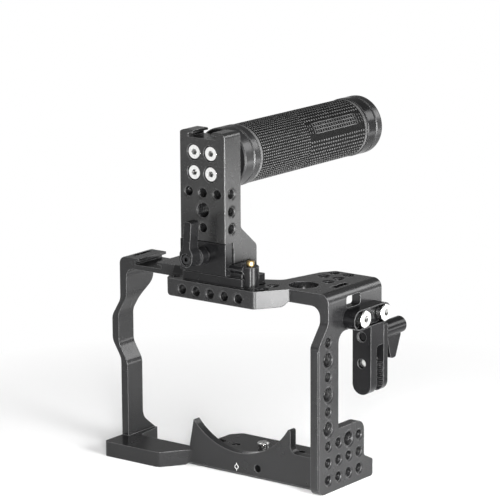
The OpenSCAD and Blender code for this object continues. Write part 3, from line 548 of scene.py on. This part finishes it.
class CAGE_OT_finishes(bpy.types.Operator):
    """Give each machined part its finish"""

    bl_idname = "cage.finishes"
    bl_label = "Metal finishes"

    def execute(self, context):
        sizes, colours = context.scene.cage_sizes, context.scene.cage_colours
        finishes = {
            key: anodised(name, getattr(colours, colour), sizes, roughness, gloss)
            for key, (name, colour, roughness, gloss) in FINISHES.items()
        }
        steel = turned("nickel plated steel", colours.steel, sizes)
        bright = turned("bright nickel screws", BRIGHT_NICKEL, sizes, 0.22)
        for node, finish in ALUMINIUM.items():
            wear(node, finishes[finish])
        for node in STEEL:
            wear(node, steel)
        for node in BRIGHT_SCREWS:
            wear(node, bright)
        for node in DARK_SCREWS:
            wear(node, turned("blackened " + node.replace("_", " "), DARK_STEEL, sizes, 0.3))
        wear("safety_pin", turned("worn brass", colours.brass, sizes, 0.34))
        wear("grip_core", turned("plain turned aluminium", PLAIN_ALUMINIUM, sizes, 0.3))
        return {"FINISHED"}


class CAGE_OT_sleeve(bpy.types.Operator):
    """Make the studded rubber sleeve of the grip"""

    bl_idname = "cage.sleeve"
    bl_label = "Grip sleeve"

    def execute(self, context):
        sizes, colours = context.scene.cage_sizes, context.scene.cage_colours
        outer = (SLEEVE_HIGH.z - SLEEVE_LOW.z) / 2
        skin = outer - sizes.stud_height
        bm = bmesh.new()
        sleeve_tube(bm, outer, skin)
        first, last = SLEEVE_LOW.y + 4 * RIM, SLEEVE_HIGH.y - 4 * RIM
        change = fine_studs(bm, first, first + FINE_SHARE * (last - first), outer, skin, sizes)
        coarse_studs(bm, change, last, outer, skin, sizes)
        for rib in range(RIBS):
            block(bm, skin, (change + last) / 2, RIB_ANGLE + rib * rib_step(skin), RIB_WIDTH,
                  last - change - RIB_SHORT, sizes.stud_height)
        bmesh.ops.recalc_face_normals(bm, faces=bm.faces)
        rubber = moulded_rubber("moulded rubber", colours.rubber, skin, outer)
        sleeve = piece("studded_sleeve", bm, rubber, "handle", smooth=False)
        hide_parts("rubber_sleeve")
        return {"FINISHED"}


class CAGE_OT_threads(bpy.types.Operator):
    """Put the ridges of a thread into each accessory hole"""

    bl_idname = "cage.threads"
    bl_label = "Threads"

    def execute(self, context):
        sizes, colours = context.scene.cage_sizes, context.scene.cage_colours
        for name, rows, body in (("cage_threads", CAGE_THREADS, "cage"),
                                 ("post_threads", POST_THREADS, "handle")):
            bm = bmesh.new()
            thread_rows(bm, rows)
            finish = anodised(name.replace("_", " "), colours.cage, sizes, *THREAD_FINISH)
            piece(name, bm, finish, body)
        return {"FINISHED"}


class CAGE_OT_spring(bpy.types.Operator):
    """Wind the safety pin's spring as one coil of fixed length"""

    bl_idname = "cage.spring"
    bl_label = "Pin spring"

    def execute(self, context):
        sizes, colours = context.scene.cage_sizes, context.scene.cage_colours
        low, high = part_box("pin_spring")
        height = high.z - low.z
        bm = bmesh.new()
        made = bmesh.ops.create_circle(bm, cap_ends=False, radius=COIL_WIRE,
                                       segments=8)["verts"]
        place = (Matrix.Translation(((high.x - low.x) / 2 - COIL_WIRE, 0, COIL_WIRE))
                 @ Matrix.Rotation(math.pi / 2, 4, "X"))
        bmesh.ops.transform(bm, matrix=place, verts=made)
        wind(bm, with_edges(made), height - 2 * COIL_WIRE, COIL_TURNS)
        bmesh.ops.holes_fill(bm, edges=bm.edges, sides=8)
        middle = (low + high) / 2
        bmesh.ops.transform(bm, matrix=Matrix.Translation((middle.x, middle.y, low.z)),
                            verts=bm.verts)
        bmesh.ops.recalc_face_normals(bm, faces=bm.faces)
        spring = piece("pin_coil", bm, turned("spring steel", colours.steel, sizes), "cage")
        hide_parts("pin_spring")
        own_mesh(spring)
        return {"FINISHED"}


class CAGE_OT_mark(bpy.types.Operator):
    """Paint the lens axis mark on the front lip"""

    bl_idname = "cage.mark"
    bl_label = "Axis mark"

    def execute(self, context):
        bm = bmesh.new()
        made = bmesh.ops.create_circle(bm, cap_ends=False, radius=MARK_LINE, segments=6)["verts"]
        bmesh.ops.transform(bm, matrix=Matrix.Translation((MARK_RADIUS, 0, 0)), verts=made)
        bmesh.ops.spin(bm, geom=with_edges(made), cent=(0, 0, 0), axis=(0, 1, 0),
                       angle=2 * math.pi, steps=MARK_STEPS, use_merge=True)
        bmesh.ops.remove_doubles(bm, verts=bm.verts, dist=MERGE)
        for side in (-1, 1):
            tick = bmesh.ops.create_cube(bm, size=1)["verts"]
            shape = (Matrix.Translation((0, 0, side * TICK_HEIGHT))
                     @ Matrix.Diagonal((*TICK_SIZE, 1)))
            bmesh.ops.transform(bm, matrix=shape, verts=tick)
        bmesh.ops.transform(bm, matrix=Matrix.Translation(MARK_CENTRE), verts=bm.verts)
        bmesh.ops.recalc_face_normals(bm, faces=bm.faces)
        material, nodes, links, shader = new_material("white paint")
        specks = remap(nodes, links, noise(nodes, links, 0.3 * MM, 2), 0.3, 1)
        links.new(mix(nodes, links, specks, (0.5, 0.5, 0.5), (0.8, 0.8, 0.79)),
                  shader.inputs["Base Color"])
        shader.inputs["Roughness"].default_value = 0.6
        piece("axis_mark", bm, material, "cage")
        return {"FINISHED"}


class CAGE_OT_stage(bpy.types.Operator):
    """Set up the floor, the surround, the lamps and the camera"""

    bl_idname = "cage.stage"
    bl_label = "Stage"

    def execute(self, context):
        colours = context.scene.cage_colours
        make_floor(colours.floor)
        make_surround()
        for lamp in LAMPS:
            add_lamp(*lamp)
        make_camera()
        return {"FINISHED"}


def seen_ray(nodes, links):
    """1 for what the eye, a reflection or a glass shows, 0 for light on the object."""
    path = nodes.new("ShaderNodeLightPath")
    mirrored = math_node(nodes, links, "MAXIMUM", path.outputs["Is Glossy Ray"],
                         path.outputs["Is Transmission Ray"])
    return math_node(nodes, links, "MAXIMUM", path.outputs["Is Camera Ray"], mirrored)


def make_floor(colour):
    """A pale floor that reads as white to the camera and keeps the shadow."""
    bm = bmesh.new()
    bmesh.ops.create_grid(bm, x_segments=1, y_segments=1, size=FLOOR_HALF)
    mesh = bpy.data.meshes.new("floor")
    bm.to_mesh(mesh)
    bm.free()
    material, nodes, links, shader = new_material("pale floor")
    shader.inputs["Base Color"].default_value = (*colour, 1)
    shader.inputs["Roughness"].default_value = 0.9
    # Far from the object the floor is plain white to the eye and in reflections
    where, length = nodes.new("ShaderNodeTexCoord"), nodes.new("ShaderNodeVectorMath")
    length.operation = "LENGTH"
    links.new(where.outputs["Object"], length.inputs[0])
    far = remap(nodes, links, length.outputs["Value"], 0, 1, *FLOOR_FADE)
    seen = seen_ray(nodes, links)
    white, blend = nodes.new("ShaderNodeEmission"), nodes.new("ShaderNodeMixShader")
    output = [n for n in nodes if n.type == "OUTPUT_MATERIAL"][0]
    links.new(math_node(nodes, links, "MULTIPLY", far, seen), blend.inputs["Fac"])
    links.new(shader.outputs["BSDF"], blend.inputs[1])
    links.new(white.outputs["Emission"], blend.inputs[2])
    links.new(blend.outputs["Shader"], output.inputs["Surface"])
    mesh.materials.append(material)
    floor = bpy.data.objects.new("floor", mesh)
    floor.location.z = -FLOOR_DROP
    bpy.context.scene.collection.objects.link(floor)


def make_surround():
    """A world that is white round the horizon, like a backdrop, and dimmer overhead."""
    world = bpy.data.worlds.new("white surround")
    bpy.context.scene.world = world
    world.use_nodes = True
    nodes, links = world.node_tree.nodes, world.node_tree.links
    nodes.clear()
    output = nodes.new("ShaderNodeOutputWorld")
    where, axes = nodes.new("ShaderNodeTexCoord"), nodes.new("ShaderNodeSeparateXYZ")
    links.new(where.outputs["Generated"], axes.inputs["Vector"])
    surround = nodes.new("ShaderNodeBackground")
    surround.inputs["Color"].default_value = (1, 1, 1, 1)
    links.new(remap(nodes, links, axes.outputs["Z"], 1, OVERHEAD, *HORIZON),
              surround.inputs["Strength"])
    links.new(surround.outputs["Background"], output.inputs["Surface"])


def away_from(azimuth, elevation):
    """The direction with that azimuth and elevation, in degrees."""
    a, e = math.radians(azimuth), math.radians(elevation)
    return Vector((math.sin(a) * math.cos(e), -math.cos(a) * math.cos(e), math.sin(e)))


def add_lamp(name, azimuth, elevation, distance, width, height, power):
    """A soft box that faces the object."""
    light = bpy.data.lights.new(name, "AREA")
    light.shape = "RECTANGLE"
    light.size, light.size_y, light.energy = width, height, power
    lamp = bpy.data.objects.new(name, light)
    away = away_from(azimuth, elevation)
    lamp.location = LAMP_AIM + away * distance
    lamp.rotation_mode = "QUATERNION"
    lamp.rotation_quaternion = away.to_track_quat("Z", "Y")
    lamp.visible_camera = False
    bpy.context.scene.collection.objects.link(lamp)


def make_camera():
    """The camera stands to the right of the lens axis and a little above."""
    back = away_from(CAMERA_AZIMUTH, CAMERA_ELEVATION)
    data = bpy.data.cameras.new("camera")
    data.sensor_width = CAMERA_SENSOR
    data.lens = CAMERA_LENS
    camera = bpy.data.objects.new("camera", data)
    camera.location = CAMERA_AIM + back * CAMERA_DISTANCE
    camera.rotation_mode = "QUATERNION"
    roll = Matrix.Rotation(math.radians(CAMERA_ROLL), 3, "Z")
    upright = back.to_track_quat("Z", "Y")
    camera.rotation_quaternion = (upright.to_matrix() @ roll).to_quaternion()
    bpy.context.scene.collection.objects.link(camera)
    bpy.context.scene.camera = camera
    bpy.context.scene.view_settings.view_transform = "Standard"


class CAGE_PT_panel(bpy.types.Panel):
    """Lists the cage's steps, sizes and colours"""

    bl_label = "Camera cage"
    bl_idname = "CAGE_PT_panel"
    bl_space_type = "VIEW_3D"
    bl_region_type = "UI"
    bl_category = "Camera cage"

    def draw(self, context):
        for group in (context.scene.cage_sizes, context.scene.cage_colours):
            for key in group.bl_rna.properties.keys():
                if key not in ("rna_type", "name"):
                    self.layout.prop(group, key)
        for operator in STEPS:
            self.layout.operator(operator.bl_idname)


STEPS = (CAGE_OT_finishes, CAGE_OT_sleeve, CAGE_OT_threads, CAGE_OT_spring, CAGE_OT_mark,
         CAGE_OT_stage)
CLASSES = (CageSizes, CageColours, *STEPS, CAGE_PT_panel)


def register():
    for cls in CLASSES:
        bpy.utils.register_class(cls)
    bpy.types.Scene.cage_sizes = PointerProperty(type=CageSizes)
    bpy.types.Scene.cage_colours = PointerProperty(type=CageColours)


def unregister():
    del bpy.types.Scene.cage_sizes, bpy.types.Scene.cage_colours
    for cls in reversed(CLASSES):
        bpy.utils.unregister_class(cls)


def main():
    register()
    for step in STEPS:
        group, name = step.bl_idname.split(".")
        getattr(getattr(bpy.ops, group), name)()


if __name__ == "__main__":
    main()
